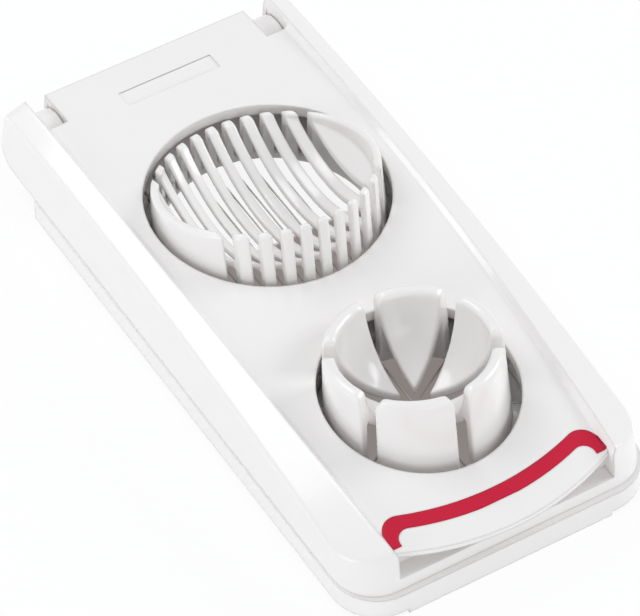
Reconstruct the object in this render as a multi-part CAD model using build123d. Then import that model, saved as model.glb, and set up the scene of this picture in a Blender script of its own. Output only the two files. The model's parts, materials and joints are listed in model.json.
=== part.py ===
from build123d import *
import os
from math import atan, cos, degrees, radians, sin, sqrt, tan

# Two-station egg cutter: a slatted cup that slices, a six-petal cup that wedges, and a hinged lid
# that carries the wires. +Y is the hinge end, -Y the grip end, Z = 0 the table. All sizes in mm.

# ---- Overall ----
length = 202.0                 # tip of the grip lip to the back of the hinge ears
width = 97.6
ear_radius = 9.5               # round ends of the lid's sides about the hinge line
wall = 2.0                     # moulded wall of the lid and the base
front_y = -length / 2
hinge_y = length / 2 - ear_radius
hinge_z = 17.0

# ---- Base tray ----
base_half = width / 2
base_rim_z = 8.5               # ledge that the lid's lower edge rests on
base_skirt_z = 1.5             # lower edge of the side walls
base_front_setback = 1.4       # front wall behind the tip of the grip lip
base_back_gap = 6.3            # back wall beyond the hinge line
base_corner = 14.0
platform_z = 14.6              # raised deck inside the lid, which carries the cups
platform_gap = 0.8             # play between the raised deck and the lid's walls
platform_front_y = -89.5
platform_corner = 8.0
rear_deck_z = 7.0              # lowered deck that clears the lid's back as it swings
foot_length = width - 31.6     # width across of the two foot rails
foot_width = 4.0
rib_width = 1.6
rear_deck_front = 11.5         # front of the lowered deck, ahead of the hinge line

# ---- Lid cover ----
lid_half = base_half - 0.4
lid_front_setback = 3.3        # front rim behind the tip of the grip lip
lid_back_gap = 10.5            # rear face beyond the hinge line, at the lid's lower edge
lid_back_lean = 3.0            # how much the rear face leans forward by its top
lid_front_corner = 13.0
lid_top_corner = 19.0          # corner radius at the top, so the front corners grow rounder upwards
lid_top_narrowing = 1.4        # how much the sides lean in by the top
lid_front_lean = 2.2
crest_apex_y = 38.8            # the shoulders arch lengthwise about this place
crest_apex_z = 31.8
crest_arch = 1066.0
crest_half = lid_half - 7.4    # half distance between the crests at their widest
crest_bow = 2200.0
crest_bow_y = 59.0
shoulder_slope = 0.47          # fall of a shoulder per mm outwards
panel_apex_y = 26.8
panel_apex_z = 30.7
panel_arch = 700.0
panel_inset = 1.7              # foot of the inner shoulder wall, inside the crest
rim_round = 1.3                # rounding along the lid's upper outer edge
back_round = 4.0               # rounding along the lid's upper rear edge
crest_round = 4.0
rear_wall_z = 16.4             # lower edge of the rear wall between the knuckles

# ---- Stations ----
slicer_y = 29.8
slicer_hole = base_half - 13.3 # radius
wedger_y = -51.2
wedger_hole = 28.5             # radius
collar_depth = 1.8             # ring wall under each hole
collar_wall = 1.8

# ---- Grip lip and finger recess ----
lip_bow = 86.4                 # radius of the lip's front edge
lip_thickness = 1.9
recess_half = base_half - 14.3
lip_half = recess_half - 0.2
recess_y = -92.5               # back wall of the finger recess
recess_floor_z = 13.0

# ---- Red grip inlay ----
inlay_width = 4.6
inlay_depth = 0.8
inlay_front_y = -88.5          # outer arc at the middle
inlay_bow = 88.0
inlay_half = recess_half + 0.1
inlay_leg = 3.2
inlay_leg_end_y = -92.9
inlay_corner = 5.2
inlay_inner_corner = 3.4

# ---- Bare name panel ----
mark_width = 30.4
mark_depth = 6.0
mark_y = hinge_y - 6.2
mark_cut = 0.3

# ---- Hinge ----
pin_radius = 2.0
pin_running = 0.05             # radial clearance where the lid turns on the pin
knuckle_radius = 9.2
knuckle_out = lid_half - 8.2
knuckle_in = knuckle_out - 6.4
knuckle_gap = 0.3              # side play between knuckle and lid
notch_front = 5.5              # notch edge ahead of the hinge line
hinge_rib = 2.0
hinge_rib_radius = 8.4
pin_inner_end = knuckle_in - 3.3
pin_outer_end = knuckle_out + 4.8
pin_end_gap = 0.3

# ---- Wire plane ----
wire_z = 17.2
wire_radius = 0.25
wire_seat = 3.0                # length of wire held in the frame at each end
slicer_wires = 10
slicer_wire_margin = 11.2      # outermost wire to the edge of the hole
slicer_pitch = 2 * (slicer_hole - slicer_wire_margin) / (slicer_wires - 1)
wedge_cross_y = -49.6          # where the crossing wires meet, with the lid shut
frame_thickness = 2.4
frame_top = 1.2                # frame top above the wire plane
frame_gap = 0.5                # frame edge to the lid's inner wall
frame_hole_gap = 1.1           # openings larger than the lid's holes
frame_hole_shift = -1.0        # openings sit ahead of the lid's holes, to clear the swing
frame_front_y = -88.0
frame_back_y = hinge_y - 15.5
stake_radius = 1.8
stake_head_radius = 2.8
stake_head = 0.8
stake_inset = 7.4              # side studs, inside the lid's outer face
stake_front_inset = 10.4       # the front pair, nearer the middle to clear the corners
stake_rows = (hinge_y - 23.5, -10.0)
stake_front_y = -80.0
stake_middle_y = -14.5

# ---- Slicer cup ----
slot_bottom_z = 15.1           # in both cups, a little above the platform
slicer_cup_top_radius = slicer_hole - 2.1   # at the lid's surface
slicer_cup_lean = 4.0
slicer_cup_draft = 3.0
slicer_cup_ref_z = 29.0
slicer_cup_wall = 2.5
slicer_rim_z = 38.8            # rim plane above the cup's centre
slicer_rim_slope = 0.305
slicer_bowl_radius = 42.0
slicer_bowl_bottom_z = 18.4
slicer_bowl_y = 32.4
slicer_floor = 2.1
slat_slot = 2.5
swing_clearance = 0.45         # cup front to the lid's hole over the whole swing
slat_tip_round = 1.3
slicer_outer_bevel = 1.0
slicer_inner_bevel = 0.8

# ---- Wedge cup ----
wedge_cup_radius = wedger_hole - 3.1   # at the reference height
wedge_cup_ref_z = 37.0
wedge_cup_ref_y = 3.2          # centre there, behind the hole's centre
wedge_cup_lean = 6.9           # its rim is square to this lean
wedge_cup_draft = 2.6
wedge_cup_wall = 3.7
wedge_rim_z = 40.4
wedge_bowl_radius = 21.8
wedge_bowl_bottom_z = 18.5
wedge_floor = 3.0
petals = 6
petal_slot = 4.5
petal_corner = 3.0
petal_bevel = 1.0

tall = 60.0                    # reach of cutting tools beyond the part
frame_top_z = wire_z + frame_top
frame_bottom_z = frame_top_z - frame_thickness
stations = ((slicer_y, slicer_hole), (wedger_y, wedger_hole))
lid_front_y = front_y + lid_front_setback
lid_back_y = hinge_y + lid_back_gap
stake_places = [(side * (lid_half - stake_inset), y) for y in stake_rows for side in (1, -1)]
stake_places += [(side * (lid_half - stake_front_inset), stake_front_y) for side in (1, -1)]
stake_places += [(0, stake_middle_y)]


def arch(y, apex_y, apex_z, radius):
    """Height of a lengthwise arc at y."""
    return apex_z - radius + sqrt(radius**2 - (y - apex_y) ** 2)


def block(x0, x1, y0, y1, z0, z1):
    return Pos((x0 + x1) / 2, (y0 + y1) / 2, (z0 + z1) / 2) * Box(x1 - x0, y1 - y0, z1 - z0)


def rod(x0, x1, radius, y=hinge_y, z=hinge_z):
    """Round bar along X, on the hinge line unless told otherwise."""
    return Pos((x0 + x1) / 2, y, z) * Rot(0, 90, 0) * Cylinder(radius, abs(x1 - x0))


def round_plan(half, y0, y1, front_corner, z):
    """Outline of the lid, the base or the wire frame at height z, rounded at its two front corners."""
    face = make_face(Polyline((-half, y0), (half, y0), (half, y1), (-half, y1), close=True))
    front = face.vertices().group_by(Axis.Y)[0]
    return Pos(0, 0, z) * fillet(front, front_corner)


# ------------------------------------------------------------------------------------- lid cover
def crown_points(y, lower):
    """Crest and panel places of the lid's top at y: crest x, crest z, wall foot x, panel z."""
    crest_x = arch(min(y, crest_bow_y), crest_bow_y, crest_half, crest_bow)
    crest_z = arch(y, crest_apex_y, crest_apex_z, crest_arch) - lower
    panel_z = arch(y, panel_apex_y, panel_apex_z, panel_arch) - lower
    return crest_x, crest_z, crest_x - panel_inset, panel_z


def crosswise(y, half_points):
    """Symmetric closed section across the lid at y, from the points of its right half."""
    points = [(-x, z) for x, z in half_points] + list(reversed(half_points))
    return Pos(0, y, 0) * Rot(90, 0, 0) * make_face(Polyline(*points, close=True))


def lengthwise(section):
    """Solid through the sections at even steps from front to back."""
    first = front_y - wall
    last = lid_back_y + wall
    steps = 6
    return loft([section(first + (last - first) * i / (steps - 1)) for i in range(steps)])


def crown(lower=0.0):
    """Everything under the finished top surface, or under a copy of it lowered by a wall."""
    def section(y):
        crest_x, crest_z, foot_x, panel_z = crown_points(y, lower)
        reach = lid_half + wall
        outer_z = crest_z - shoulder_slope * (reach - crest_x)
        return crosswise(y, [(reach, 0), (reach, outer_z), (crest_x, crest_z), (foot_x, panel_z)])
    return lengthwise(section)


def hood():
    """Everything under the shoulders and a flat top between the crests."""
    def section(y):
        crest_x, crest_z, _, _ = crown_points(y, 0)
        reach = lid_half + wall
        outer_z = crest_z - shoulder_slope * (reach - crest_x)
        return crosswise(y, [(reach, 0), (reach, outer_z), (crest_x, crest_z)])
    return lengthwise(section)


def pocket():
    """Room over the sunk panel between the shoulders."""
    def section(y):
        crest_x, crest_z, foot_x, panel_z = crown_points(y, 0)
        lift = 3 * panel_inset
        slant = (crest_z - panel_z) / panel_inset
        return crosswise(y, [(foot_x, panel_z), (foot_x + lift, panel_z + slant * lift)])
    return lengthwise(section)


def lid_walls(inset):
    """Side walls of the lid, leaning in a little towards the top."""
    top = crest_apex_z + wall
    low = round_plan(lid_half - inset, lid_front_y + inset, lid_back_y - inset,
                     lid_front_corner - inset, base_rim_z)
    high = round_plan(lid_half - lid_top_narrowing - inset, lid_front_y + lid_front_lean + inset,
                      lid_back_y - lid_back_lean - inset, lid_top_corner - inset, top)
    return loft([low, high], ruled=True)


def lip_plan():
    """The grip lip seen from above, ending in a bowed front edge."""
    edge = ThreePointArc((-lip_half, front_y + lip_bow - sqrt(lip_bow**2 - lip_half**2)),
                         (0, front_y),
                         (lip_half, front_y + lip_bow - sqrt(lip_bow**2 - lip_half**2)))
    back_y = recess_y + wall
    sides = Polyline(edge @ 1, (lip_half, back_y), (-lip_half, back_y), edge @ 0)
    return make_face([edge, sides])


def inlay_plan():
    """Bowed stripe with a short leg at each end."""
    def bowed(half, mid_y, bow, end_y, corner):
        side_y = mid_y + bow - sqrt(bow**2 - half**2)
        edge = ThreePointArc((-half, side_y), (0, mid_y), (half, side_y))
        legs = Polyline(edge @ 1, (half, end_y), (-half, end_y), edge @ 0)
        face = make_face([edge, legs])
        return fillet(face.vertices().group_by(Axis.Y)[-1], corner)
    outer = bowed(inlay_half, inlay_front_y, inlay_bow, inlay_leg_end_y, inlay_corner)
    inner = bowed(inlay_half - inlay_leg, inlay_front_y - inlay_width, inlay_bow,
                  inlay_leg_end_y - inlay_leg, inlay_inner_corner)
    return outer - inner


def hinge_plates():
    """Lid ribs each side of the knuckles, right and left."""
    plates = []
    under_top = crown(wall / 2) & lid_walls(wall / 2)
    for side in (1, -1):
        for inner in (knuckle_in - knuckle_gap - hinge_rib, knuckle_out + knuckle_gap):
            x0, x1 = sorted((side * inner, side * (inner + hinge_rib)))
            web = block(x0, x1, hinge_y - hinge_rib_radius, hinge_y + hinge_rib_radius - wall,
                        hinge_z, tall)
            plates.append(rod(x0, x1, hinge_rib_radius) + (web & under_top))
    return plates


def stakes():
    """Shouldered posts under the panel that carry the wire frame, with flattened heads."""
    posts = []
    low = frame_bottom_z - stake_head
    ceiling = crown(wall / 2)
    for x, y in stake_places:
        shoulder = Pos(x, y, (frame_top_z + tall) / 2) * Cylinder(stake_head_radius, tall - frame_top_z)
        shank = Pos(x, y, (low + frame_top_z) / 2) * Cylinder(stake_radius, frame_top_z - low)
        head = Pos(x, y, frame_bottom_z - stake_head / 2) * Cylinder(stake_head_radius, stake_head)
        posts.append((shoulder & ceiling) + shank + head)
    return posts


def on_crest(edge):
    box = edge.bounding_box()
    return box.size.Y > length / 2 and lid_half / 2 < abs(box.center().X) < crest_half


def on_back(edge):
    """True for the upper rear edge of the lid, from side to side."""
    box = edge.bounding_box()
    return box.center().Y > hinge_y + ear_radius / 2 and box.center().Z > hinge_z + ear_radius


def on_outline(edge):
    """True for the edges where the top surface meets the side and front walls."""
    box = edge.bounding_box()
    upright = box.size.Z > box.size.X and box.size.Z > box.size.Y
    inside = box.size.Y > length / 2 and abs(box.center().X) < crest_half + rim_round
    return box.center().Z > base_rim_z + wall and not upright and not inside and box.center().Y < hinge_y


def lid_cover():
    top = crown()
    shell = hood() & lid_walls(0)
    shell = fillet(shell.edges().filter_by(on_crest), crest_round)
    shell = fillet(shell.edges().filter_by(on_back), back_round)
    shell = fillet(shell.edges().filter_by(on_outline), rim_round)
    shell -= pocket()
    cavity = crown(wall) & lid_walls(wall)
    cavity -= block(-recess_half - wall, recess_half + wall, front_y, recess_y + wall,
                    recess_floor_z - wall, tall)
    recess = block(-recess_half, recess_half, front_y - wall, recess_y, recess_floor_z, tall)
    lip = extrude(Pos(0, 0, base_rim_z) * lip_plan(), tall) & (top - crown(lip_thickness))
    cover = shell - recess + lip
    cover -= cavity
    for y, hole in stations:
        ring = Pos(0, y, 0) * Cylinder(hole + collar_wall, 2 * tall)
        cover += ring & (crown(wall / 2) - crown(wall + collar_depth))
    cover += hinge_plates()
    cover += stakes()
    for y, hole in stations:
        cover -= Pos(0, y, 0) * Cylinder(hole, 2 * tall)
    notch_out = knuckle_out + knuckle_gap
    notch_in = knuckle_in - knuckle_gap
    for side in (1, -1):
        x0, x1 = sorted((side * notch_in, side * notch_out))
        cover -= block(x0, x1, hinge_y - notch_front, length, 0, tall)
        cover -= rod(side * (pin_inner_end - wall), side * (pin_outer_end + pin_end_gap),
                     pin_radius + pin_running)
    cover -= block(-notch_in, notch_in, hinge_y + ear_radius / 2, length, 0, rear_wall_z)
    behind = block(-tall, tall, hinge_y, length, 0, hinge_z)
    cover -= behind - rod(-tall, tall, ear_radius)
    mark = block(-mark_width / 2, mark_width / 2, mark_y - mark_depth / 2, mark_y + mark_depth / 2, 0, tall)
    cover -= extrude(inlay_plan(), tall) - crown(inlay_depth)
    cover -= mark - crown(mark_cut)
    return cover


def grip_inlay():
    """Red stripe seated flush in the lid's top."""
    return extrude(inlay_plan(), tall) & (crown() - crown(inlay_depth))


# ------------------------------------------------------------------------------------- base tray
def base_plan(inset, z):
    return round_plan(base_half - inset, front_y + base_front_setback + inset,
                      hinge_y + base_back_gap - inset, base_corner - inset, z)


def platform_half():
    return lid_half - wall - platform_gap


def platform_plan(inset, z):
    return round_plan(platform_half() - inset, platform_front_y + inset, hinge_y - rear_deck_front - inset,
                      platform_corner - inset, z)


def knuckle(side):
    """Round-topped upright on the base, between the two lid ribs on one side."""
    x0, x1 = sorted((side * knuckle_in, side * knuckle_out))
    back_y = hinge_y + base_back_gap
    foot = block(x0, x1, hinge_y - knuckle_radius, back_y, rear_deck_z - wall, hinge_z)
    return foot + (rod(x0, x1, knuckle_radius) & block(x0, x1, 0, length, rear_deck_z, tall))


def base_tray():
    """Low band with a raised platform inside the lid and a lowered deck under the hinge."""
    bay_front = hinge_y - rear_deck_front
    tray = extrude(base_plan(0, base_skirt_z), base_rim_z - base_skirt_z)
    tray += extrude(platform_plan(0, base_skirt_z), platform_z - base_skirt_z)
    under_rim_room = extrude(base_plan(wall, 0), base_rim_z - wall)
    lowered = block(-tall, tall, bay_front, length, rear_deck_z - wall, tall)
    tray -= under_rim_room - lowered
    tray -= extrude(platform_plan(wall, 0), platform_z - wall)
    tray -= block(-tall, tall, bay_front, length, rear_deck_z, tall)
    feet = [(cup_centre(cup, platform_z), spigot_radius(cup)) for cup in (slicer, wedger)]
    between = (feet[0][0] - feet[0][1] + feet[1][0] + feet[1][1]) / 2
    half = platform_half() - wall / 2
    tray += block(-half, half, between - rib_width / 2, between + rib_width / 2,
                  base_skirt_z, platform_z - wall / 2)
    for y in (front_y + base_front_setback, hinge_y + base_back_gap - foot_width):
        tray += block(-foot_length / 2, foot_length / 2, y, y + foot_width, 0, rear_deck_z - wall / 2)
    for y, radius in feet:
        tray -= Pos(0, y, 0) * Cylinder(radius, 2 * tall)
    bay_in = knuckle_out + knuckle_gap
    for side in (1, -1):
        x0, x1 = sorted((side * bay_in, side * base_half * 2))
        tray -= block(x0, x1, bay_front, length, -wall, tall)
        x0, x1 = sorted((side * (bay_in - wall), side * bay_in))
        tray += block(x0, x1, bay_front, hinge_y + base_back_gap, base_skirt_z, rear_deck_z)
        x0, x1 = sorted((side * (bay_in - wall), side * (base_half - wall / 2)))
        tray += block(x0, x1, bay_front - wall, bay_front, base_skirt_z, base_rim_z)
        tray += knuckle(side)
        tray -= rod(side * pin_inner_end, side * pin_outer_end, pin_radius)
    return tray


def hinge_pin(side):
    return rod(side * pin_inner_end, side * pin_outer_end, pin_radius)


# ------------------------------------------------------------------------------------- cups
def cup_axis(cup):
    """Place of the cup's axis, which leans back towards the hinge."""
    return Pos(0, cup["ref_y"], cup["ref_z"]) * Rot(-cup["lean"], 0, 0)


def cup_cone(cup, inset):
    """Everything inside the cup's drafted wall."""
    spread = tall * tan(radians(cup["draft"]))
    middle = cup["radius"] - inset
    return cup_axis(cup) * Cone(middle + spread, middle - spread, 2 * tall)


def cup_radius(cup, z):
    return cup["radius"] - (z - cup["ref_z"]) * tan(radians(cup["draft"]))


def cup_centre(cup, z):
    return cup["ref_y"] + (z - cup["ref_z"]) * tan(radians(cup["lean"]))


def spigot_radius(cup):
    """Where half of the cup's wall drops into the platform's opening."""
    return cup_radius(cup, platform_z) - cup["wall"] / 2


def rim_frame(cup):
    """The cup's rim plane, which falls towards the hinge."""
    return Pos(0, cup["ref_y"], cup["rim_z"]) * Rot(-degrees(atan(cup["rim_slope"])), 0, 0)


def under_rim(cup, lower=0.0):
    reach = 2 * tall
    return rim_frame(cup) * block(-reach, reach, -reach, reach, -reach, -lower)


def swing_room(cup):
    """Ring-shaped room left by the front of the lid's hole as it turns about the hinge line."""
    edge_y = cup["station"] - cup["hole"]
    edge_z = arch(edge_y, panel_apex_y, panel_apex_z, panel_arch) - wall
    sweep = sqrt((hinge_y - edge_y) ** 2 + (edge_z - hinge_z) ** 2)
    reach = hinge_y - cup["station"]
    ring = Pos(0, hinge_y, hinge_z) * Rot(0, 90, 0) * Torus(reach, sweep - reach - swing_clearance)
    return ring + block(-tall, tall, -length, length, 0, hinge_z)


def slot_tool(cup, width, tip_round, angle, middle_y):
    """Slot down through the rim, whose mouth widens in a curve; middle_y is in the rim plane."""
    half = width / 2
    mouth = half + tip_round
    corner = CenterArc((mouth, -tip_round), tip_round, 90, 90)
    face = make_face([Polyline((0, -tall), (half, -tall), corner @ 1), corner,
                      Polyline(corner @ 0, (mouth, tall), (0, tall)), Line((0, tall), (0, -tall))])
    face += mirror(face, Plane.YZ)
    tool = Rot(0, 0, angle - 90) * extrude(Plane.XZ * face, amount=2 * tall, both=True)
    tool = rim_frame(cup) * Pos(0, middle_y, 0) * tool
    return tool & block(-2 * tall, 2 * tall, -length, length, slot_bottom_z, 2 * tall)


def cup_body(cup):
    """Round wall, open underneath, with a bowl-shaped floor across it."""
    bowl = Pos(0, cup["bowl_y"], cup["bowl_bottom_z"] + cup["bowl_radius"]) * Rot(0, 90, 0)
    above = block(-tall, tall, -length, length, platform_z, 2 * tall)
    inside = cup_cone(cup, cup["wall"])
    ring = cup_cone(cup, 0) & under_rim(cup) & above
    rim = ring.faces().filter_by(GeomType.PLANE).sort_by(Axis.Z)[-1]
    ring = chamfer(rim.edges(), cup["outer_bevel"]) - inside
    rim = ring.faces().filter_by(GeomType.PLANE).sort_by(Axis.Z)[-1]
    ring = chamfer(rim.inner_wires()[0].edges(), cup["inner_bevel"])
    floor = bowl * Sphere(cup["bowl_radius"] + cup["floor"]) - bowl * Sphere(cup["bowl_radius"])
    floor &= cup_cone(cup, cup["wall"] / 2) & under_rim(cup, cup["wall"] / 3) & above
    body = (ring + floor) & swing_room(cup)
    foot = Pos(0, cup_centre(cup, platform_z), platform_z - wall / 2)
    spigot = foot * Cylinder(spigot_radius(cup), wall) - inside
    return body + spigot


def slicer_cup():
    slots = [Pos(x, 0, 0) * slot_tool(slicer, slat_slot, slat_tip_round, 90, 0)
             for x in wire_places()]
    return cup_body(slicer) - slots


def wedge_cup():
    """Petals parted by slots that cross where the wires do and share the cup's lean."""
    crossing = wedge_cross_y + (wedge_rim_z - wire_z) * tan(radians(wedge_cup_lean))
    middle = (crossing - wedger["ref_y"]) / cos(radians(wedge_cup_lean))
    slots = [slot_tool(wedger, petal_slot, petal_corner, angle, middle)
             for angle in wedge_angles()]
    return cup_body(wedger) - slots


# ------------------------------------------------------------------------------------- wires
def wire_places():
    return [(i - (slicer_wires - 1) / 2) * slicer_pitch for i in range(slicer_wires)]


def wedge_angles():
    """Directions of the crossing wires; the first runs lengthwise."""
    return [90 + i * 360 / petals for i in range(petals // 2)]


def slicer_wire_line(x):
    half = sqrt((slicer_hole + frame_hole_gap) ** 2 - x**2) + wire_seat
    middle = slicer_y + frame_hole_shift
    return Vector(x, middle - half, wire_z), Vector(x, middle + half, wire_z)


def wedge_wire_line(index):
    """Wire through the crossing, stacked on the one before where they cross."""
    angle = radians(wedge_angles()[index])
    z = wire_z + (index - (petals // 2 - 1) / 2) * 2 * wire_radius
    offset = wedge_cross_y - (wedger_y + frame_hole_shift)
    half = sqrt((wedger_hole + frame_hole_gap) ** 2 - (offset * cos(angle)) ** 2) + wire_seat
    ends = []
    for reach in (-half - offset * sin(angle), half - offset * sin(angle)):
        ends.append(Vector(reach * cos(angle), wedge_cross_y + reach * sin(angle), z))
    return ends


def wire_lines():
    names = {f"slicer_wire_{i:02d}": slicer_wire_line(x) for i, x in enumerate(wire_places(), 1)}
    names.update({f"wedge_wire_{i + 1}": wedge_wire_line(i) for i in range(petals // 2)})
    return names


def wire(ends):
    run = ends[1] - ends[0]
    return extrude(Plane(ends[0], z_dir=run) * Circle(wire_radius), run.length)


def wire_seat_cut(ends):
    """Open channel in the frame that a wire is laid into from above."""
    run = ends[1] - ends[0]
    across = Plane(ends[0], x_dir=run.cross(Vector(0, 0, 1)), z_dir=run)
    upward = 1 if across.y_dir.Z > 0 else -1
    slot = Pos(0, upward * (tall / 2 - wire_radius)) * Rectangle(2 * wire_radius, tall)
    return extrude(across * slot, run.length)


def wire_frame():
    outline = round_plan(lid_half - wall - frame_gap, frame_front_y, frame_back_y,
                         lid_front_corner, frame_bottom_z)
    frame = extrude(outline, frame_thickness) & crown(wall) & lid_walls(wall + frame_gap)
    for y, hole in stations:
        frame -= Pos(0, y + frame_hole_shift, 0) * Cylinder(hole + frame_hole_gap, 2 * tall)
    for x, y in stake_places:
        frame -= Pos(x, y, 0) * Cylinder(stake_radius, 2 * tall)
    for ends in wire_lines().values():
        frame -= wire_seat_cut(ends)
    return frame


slicer = dict(station=slicer_y, hole=slicer_hole, radius=slicer_cup_top_radius, ref_y=slicer_y,
              ref_z=slicer_cup_ref_z, lean=slicer_cup_lean, draft=slicer_cup_draft, wall=slicer_cup_wall,
              rim_z=slicer_rim_z, rim_slope=slicer_rim_slope, bowl_radius=slicer_bowl_radius,
              bowl_bottom_z=slicer_bowl_bottom_z, bowl_y=slicer_bowl_y, floor=slicer_floor,
              outer_bevel=slicer_outer_bevel, inner_bevel=slicer_inner_bevel)
wedger = dict(station=wedger_y, hole=wedger_hole, radius=wedge_cup_radius, ref_y=wedger_y + wedge_cup_ref_y,
              ref_z=wedge_cup_ref_z, lean=wedge_cup_lean, draft=wedge_cup_draft, wall=wedge_cup_wall,
              rim_z=wedge_rim_z, rim_slope=tan(radians(wedge_cup_lean)), bowl_radius=wedge_bowl_radius,
              bowl_bottom_z=wedge_bowl_bottom_z, bowl_y=wedger_y + wedge_cup_ref_y, floor=wedge_floor,
              outer_bevel=petal_bevel, inner_bevel=petal_bevel)


def all_nodes():
    nodes = {"base_tray": base_tray(), "slicer_cup": slicer_cup(), "wedge_cup": wedge_cup(),
             "hinge_pin_right": hinge_pin(1), "hinge_pin_left": hinge_pin(-1),
             "lid_cover": lid_cover(), "grip_inlay": grip_inlay(), "wire_frame": wire_frame()}
    nodes.update({name: wire(ends) for name, ends in wire_lines().items()})
    return nodes


if __name__ == "__main__":
    os.makedirs("parts", exist_ok=True)
    for name, shape in all_nodes().items():
        export_step(shape, f"parts/{name}.step")
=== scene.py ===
import json
from math import cos, pi, radians, sin

import bpy
from mathutils import Matrix, Vector


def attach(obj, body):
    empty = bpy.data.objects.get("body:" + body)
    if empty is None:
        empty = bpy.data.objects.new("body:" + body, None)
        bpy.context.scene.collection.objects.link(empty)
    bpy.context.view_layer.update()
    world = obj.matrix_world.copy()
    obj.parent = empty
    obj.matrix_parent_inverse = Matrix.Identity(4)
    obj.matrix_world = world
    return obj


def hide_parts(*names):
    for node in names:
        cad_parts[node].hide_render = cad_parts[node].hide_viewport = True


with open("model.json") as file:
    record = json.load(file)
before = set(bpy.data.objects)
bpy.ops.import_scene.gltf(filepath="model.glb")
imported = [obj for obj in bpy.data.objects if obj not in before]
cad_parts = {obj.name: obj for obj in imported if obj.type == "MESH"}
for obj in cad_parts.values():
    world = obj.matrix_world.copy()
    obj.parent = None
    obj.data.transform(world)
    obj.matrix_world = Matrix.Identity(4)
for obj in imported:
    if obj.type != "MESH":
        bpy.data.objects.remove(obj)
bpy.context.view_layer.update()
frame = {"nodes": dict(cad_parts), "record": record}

MM = 0.001

# ---------------------------------------------------------------------------- camera
VIEW_AZIMUTH = -31.35          # degrees, 0 looks along +Y
VIEW_ELEVATION = 48.03
VIEW_DISTANCE = 1.4233
VIEW_AIM = (-0.00522, -0.00732, 0.020)
VIEW_REACH = 20                # farthest thing the camera sees
LENS_MM = 285.0
SENSOR_MM = 36.0

# ---------------------------------------------------------------------------- light
LAMP_TARGET = (0, 0, 0.02)
LAMP_COLOUR = (0.95, 0.985, 1.0)
LAMPS = (("key", -150, 55, 0.8, 0.5, 0.30),      # name, azimuth, elevation, distance, size, level
         ("left", -80, 10, 1.2, 0.6, 0.20),
         ("right", 75, 28, 1.2, 0.6, 0.31),
         ("front", -10, 12, 1.2, 0.9, 0.17))
WORLD_COLOUR = (0.935, 0.97, 1.0)
WORLD_LEVEL = 0.56

# ---------------------------------------------------------------------------- floor sizes
FLOOR_SIZE = 6.0
FLOOR_DROP = 0.05 * MM         # keeps the floor clear of the feet that rest on it
FLOOR_WHITE = 0.95
FLOOR_ROUGHNESS = 0.9
FLOOR_GLOW = 0.9               # share of its own shown colour in what the camera sees of the floor
SHADE_HALF = 40 * MM           # painted shade on the floor under the tray: half its width, its front end and its back end, under the slicer
SHADE_FRONT = -92 * MM         # its front end
SHADE_BACK = 37 * MM           # and its back end, under the slicer
SHADE_EDGE = 2 * MM
# colour of the painted shade, emitted instead of white where the camera sees the floor under the tray
SHADE_COLOUR = (0.27, 0.235, 0.225)

# ---------------------------------------------------------------------------- finishes
WHITE_LOW = (0.88, 0.845, 0.828)
WHITE_HIGH = (0.893, 0.857, 0.84)
RED_LOW = (0.56, 0.010, 0.04)
RED_HIGH = (0.60, 0.012, 0.045)
STEEL = (0.34, 0.33, 0.32)
STEEL_DARK_SHARE = 0.8         # the darker streaks, as a share of the steel's colour
TINT_STOPS = (0.3, 0.7)        # where the noise reaches the low and the high tint
PLASTIC_IOR = 1.5
COAT_ROUGHNESS = 0.07
CLOUD_SCALE = 28.0             # noise scales, per metre
GLOSS_SCALE = 160.0
GRAIN_SCALE = 2600.0
STREAK_SCALE = 700.0
BUMP_DEPTH = 0.1 * MM
EDGE_SOFTNESS = 1.1 * MM       # moulded edges look rounded by this much
EDGE_SAMPLES = 6

# ---------------------------------------------------------------------------- cup skins
CUP_VOXEL = 0.3 * MM           # step of the skin that rounds the cups' edges
CUP_SMOOTHING = {"slicer_cup": 7, "wedge_cup": 26}
CUP_FACES_KEPT = 0.22


def direction(azimuth, elevation):
    """Unit vector from the object towards a viewer or lamp."""
    a, e = radians(azimuth), radians(elevation)
    return Vector((sin(a) * cos(e), -cos(a) * cos(e), sin(e)))


def place_aimed(obj, target, azimuth, elevation, distance):
    """Places obj at that direction from the target, looking back at it."""
    back = direction(azimuth, elevation)
    right = Vector((cos(radians(azimuth)), sin(radians(azimuth)), 0))
    up = back.cross(right)
    rows = Matrix((right, up, back)).transposed().to_4x4()
    obj.matrix_world = Matrix.Translation(Vector(target) + back * distance) @ rows
    bpy.context.scene.collection.objects.link(obj)


def add_camera():
    data = bpy.data.cameras.new("view")
    data.sensor_width = SENSOR_MM
    data.lens = LENS_MM
    data.clip_end = VIEW_REACH
    camera = bpy.data.objects.new("view", data)
    place_aimed(camera, VIEW_AIM, VIEW_AZIMUTH, VIEW_ELEVATION, VIEW_DISTANCE)
    bpy.context.scene.camera = camera


def add_lamp(name, azimuth, elevation, distance, size, level):
    """Round soft lamp. By itself at level 1, it lights a white face turned to it to plain white."""
    data = bpy.data.lights.new(name, "AREA")
    data.shape = "DISK"
    data.size = size
    data.color = LAMP_COLOUR
    data.energy = level * pi**2 * ((size / 2) ** 2 + distance**2)
    place_aimed(bpy.data.objects.new(name, data), LAMP_TARGET, azimuth, elevation, distance)


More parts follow.
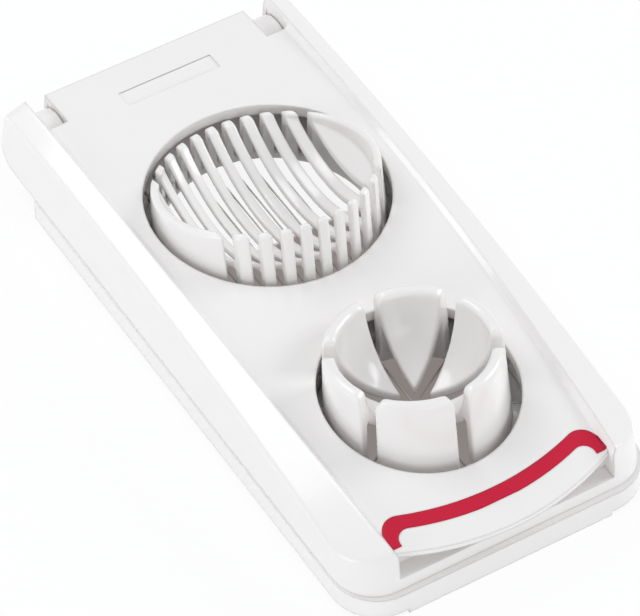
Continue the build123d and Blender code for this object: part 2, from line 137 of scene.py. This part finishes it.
# ---------------------------------------------------------------------------- node helpers
class Nodes:
    """A node tree, with short ways to add and join its nodes."""

    def __init__(self, tree):
        self.tree = tree

    def add(self, kind, **values):
        """A new node. Each value sets the input of that name, or else the node's own property."""
        node = self.tree.nodes.new(kind)
        for key, value in values.items():
            socket = key.replace("_", " ")
            if socket in node.inputs:
                node.inputs[socket].default_value = value
            else:
                setattr(node, key, value)
        return node

    def join(self, source, output, target, socket):
        self.tree.links.new(source.outputs[output], target.inputs[socket])

    def largest(self, first, *others):
        """The node that gives the largest of two or more (node, output) values."""
        node, output = first
        for other, other_output in others:
            most = self.add("ShaderNodeMath", operation="MAXIMUM")
            self.join(node, output, most, 0)
            self.join(other, other_output, most, 1)
            node, output = most, 0
        return node

    def blend(self, share, output, first, second):
        """The first shader where the share is 0, the second where it is 1."""
        mix = self.add("ShaderNodeMixShader")
        self.join(share, output, mix, "Fac")
        self.join(first, 0, mix, 1)
        self.join(second, 0, mix, 2)
        return mix


class Maker(Nodes):
    """A new material: its nodes, and its main shader."""

    def __init__(self, name):
        self.material = bpy.data.materials.new(name)
        self.material.use_nodes = True
        super().__init__(self.material.node_tree)
        self.shader = next(n for n in self.tree.nodes if n.type == "BSDF_PRINCIPLED")

    def set(self, **values):
        for key, value in values.items():
            self.shader.inputs[key.replace("_", " ")].default_value = value

    def noise(self, scale):
        """Noise that follows the object's own coordinates."""
        coords = self.add("ShaderNodeTexCoord")
        noise = self.add("ShaderNodeTexNoise", Scale=scale, Detail=4.0, Roughness=0.55)
        self.join(coords, "Object", noise, "Vector")
        return noise

    def tint(self, noise, low, high):
        """The surface's colour wanders between two colours with the noise."""
        ramp = self.add("ShaderNodeValToRGB")
        for element, at, colour in zip(ramp.color_ramp.elements, TINT_STOPS, (low, high)):
            element.position = at
            element.color = (*colour, 1)
        self.join(noise, "Fac", ramp, "Fac")
        self.join(ramp, "Color", self.shader, "Base Color")

    def roughen(self, noise, least, most):
        """The surface's roughness wanders between two values with the noise."""
        span = self.add("ShaderNodeMapRange", To_Min=least, To_Max=most)
        self.join(noise, "Fac", span, "Value")
        self.join(span, "Result", self.shader, "Roughness")

    def relief(self, noise, strength):
        """Fine bumps that follow the noise. Returns the bump, which can take a normal."""
        bump = self.add("ShaderNodeBump", Strength=strength, Distance=BUMP_DEPTH)
        self.join(noise, "Fac", bump, "Height")
        self.join(bump, "Normal", self.shader, "Normal")
        return bump


def add_world():
    """Even studio light. Seen directly or in gloss it is plain white."""
    world = bpy.data.worlds.new("studio")
    bpy.context.scene.world = world
    world.use_nodes = True
    world.node_tree.nodes.clear()
    nodes = Nodes(world.node_tree)
    path = nodes.add("ShaderNodeLightPath")
    lit = nodes.add("ShaderNodeBackground", Color=(*WORLD_COLOUR, 1), Strength=WORLD_LEVEL)
    shown = nodes.add("ShaderNodeBackground", Color=(1, 1, 1, 1), Strength=1.0)
    seen = nodes.largest((path, "Is Camera Ray"), (path, "Is Transmission Ray"), (path, "Is Glossy Ray"))
    mix = nodes.blend(seen, 0, lit, shown)
    out = nodes.add("ShaderNodeOutputWorld")
    nodes.join(mix, 0, out, "Surface")


# ---------------------------------------------------------------------------- materials
def moulded_plastic(name, low, high, roughness):
    """Glossy moulded plastic: faint cloudiness, uneven gloss, softened edges and a very fine grain."""
    maker = Maker(name)
    maker.set(Coat_Weight=0.35, Coat_Roughness=COAT_ROUGHNESS, IOR=PLASTIC_IOR)
    maker.tint(maker.noise(CLOUD_SCALE), low, high)
    maker.roughen(maker.noise(GLOSS_SCALE), roughness - 0.03, roughness + 0.03)
    soft = maker.add("ShaderNodeBevel", samples=EDGE_SAMPLES, Radius=EDGE_SOFTNESS)
    bump = maker.relief(maker.noise(GRAIN_SCALE), 0.02)
    maker.join(soft, "Normal", bump, "Normal")
    return maker


def drawn_steel(name, colour, roughness):
    """Bright drawn steel with fine streaks in its colour, gloss and surface."""
    maker = Maker(name)
    maker.set(Metallic=1.0)
    streaks = maker.noise(STREAK_SCALE)
    maker.tint(streaks, tuple(STEEL_DARK_SHARE * part for part in colour), colour)
    maker.roughen(streaks, roughness - 0.08, roughness + 0.1)
    maker.relief(streaks, 0.1)
    return maker


def finishes():
    """One material for each material slot of the record."""
    white = moulded_plastic("white_plastic", WHITE_LOW, WHITE_HIGH, 0.2)
    red = moulded_plastic("red_plastic", RED_LOW, RED_HIGH, 0.3)
    red.set(Specular_IOR_Level=0.2, Coat_Weight=0.0)
    steel = drawn_steel("wire_steel", STEEL, 0.3)
    return {"white_plastic": white.material, "red_plastic": red.material,
            "pin_steel": steel.material, "wire_steel": steel.material}


def dress(obj, material):
    obj.data.materials.clear()
    obj.data.materials.append(material)


def dress_all():
    by_slot = finishes()
    for cup in CUP_SMOOTHING:
        dress(moulded_copy(cup, "base"), by_slot["white_plastic"])
    for part in frame["record"]["subparts"]:
        dress(frame["nodes"][part["node"]], by_slot[part["material_slot"]])


# ---------------------------------------------------------------------------- moulded cups
def moulded_copy(node, body):
    """The node's own shape with every edge rounded, as moulded plastic has it."""
    piece = bpy.data.objects.new(node + "_moulded", frame["nodes"][node].data.copy())
    bpy.context.scene.collection.objects.link(piece)
    skin = piece.modifiers.new("skin", "REMESH")
    skin.mode = "VOXEL"
    skin.voxel_size = CUP_VOXEL
    soften = piece.modifiers.new("soften", "SMOOTH")
    soften.factor = 0.5
    soften.iterations = CUP_SMOOTHING[node]
    thin = piece.modifiers.new("thin", "DECIMATE")
    thin.ratio = CUP_FACES_KEPT
    evaluated = piece.evaluated_get(bpy.context.evaluated_depsgraph_get())
    piece.data = bpy.data.meshes.new_from_object(evaluated)
    piece.modifiers.clear()
    piece.data.shade_smooth()
    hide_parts(node)
    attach(piece, body)
    return piece


# ---------------------------------------------------------------------------- floor
def floor_openness(maker):
    """1 where the floor is shown plain white, falling to 0 where shade is painted under the front of the
    tray.
    """
    coords = maker.add("ShaderNodeTexCoord")
    split = maker.add("ShaderNodeSeparateXYZ")
    maker.join(coords, "Object", split, "Vector")
    across = maker.add("ShaderNodeMath", operation="ABSOLUTE")
    maker.join(split, "X", across, 0)
    borders = ((across, "Value", SHADE_HALF - SHADE_EDGE, SHADE_HALF),
               (split, "Y", SHADE_BACK - SHADE_EDGE, SHADE_BACK),
               (split, "Y", SHADE_FRONT + SHADE_EDGE, SHADE_FRONT))
    outside = []
    for source, output, start, end in borders:
        step = maker.add("ShaderNodeMapRange", interpolation_type="SMOOTHSTEP", From_Min=start, From_Max=end)
        maker.join(source, output, step, "Value")
        outside.append((step, 0))
    return maker.largest(*outside)


def shown_floor(maker):
    """What the camera and gloss see of the floor: plain white, and painted shade in the shade's colour under
    the tray.
    """
    ramp = maker.add("ShaderNodeValToRGB")
    ramp.color_ramp.elements[0].color = (*SHADE_COLOUR, 1)
    maker.join(floor_openness(maker), 0, ramp, "Fac")
    glow = maker.add("ShaderNodeEmission", Strength=1.0)
    maker.join(ramp, "Color", glow, "Color")
    return glow


def add_floor():
    """White ground, clear from below."""
    bpy.ops.mesh.primitive_plane_add(size=FLOOR_SIZE, location=(0, 0, -FLOOR_DROP))
    floor = bpy.context.object
    floor.name = "floor"
    maker = Maker("floor")
    maker.set(Roughness=FLOOR_ROUGHNESS, Base_Color=(FLOOR_WHITE, FLOOR_WHITE, FLOOR_WHITE, 1))
    path = maker.add("ShaderNodeLightPath")
    direct = maker.largest((path, "Is Camera Ray"), (path, "Is Glossy Ray"))
    share = maker.add("ShaderNodeMath", operation="MULTIPLY")
    share.inputs[1].default_value = FLOOR_GLOW
    maker.join(direct, 0, share, 0)
    top = maker.blend(share, 0, maker.shader, shown_floor(maker))
    side = maker.add("ShaderNodeNewGeometry")
    clear = maker.add("ShaderNodeBsdfTransparent")
    one_sided = maker.blend(side, "Backfacing", top, clear)
    output = next(n for n in maker.tree.nodes if n.type == "OUTPUT_MATERIAL")
    maker.join(one_sided, 0, output, "Surface")
    dress(floor, maker.material)


bpy.context.scene.view_settings.view_transform = "Standard"
add_camera()
add_world()
for lamp in LAMPS:
    add_lamp(*lamp)
add_floor()
dress_all()
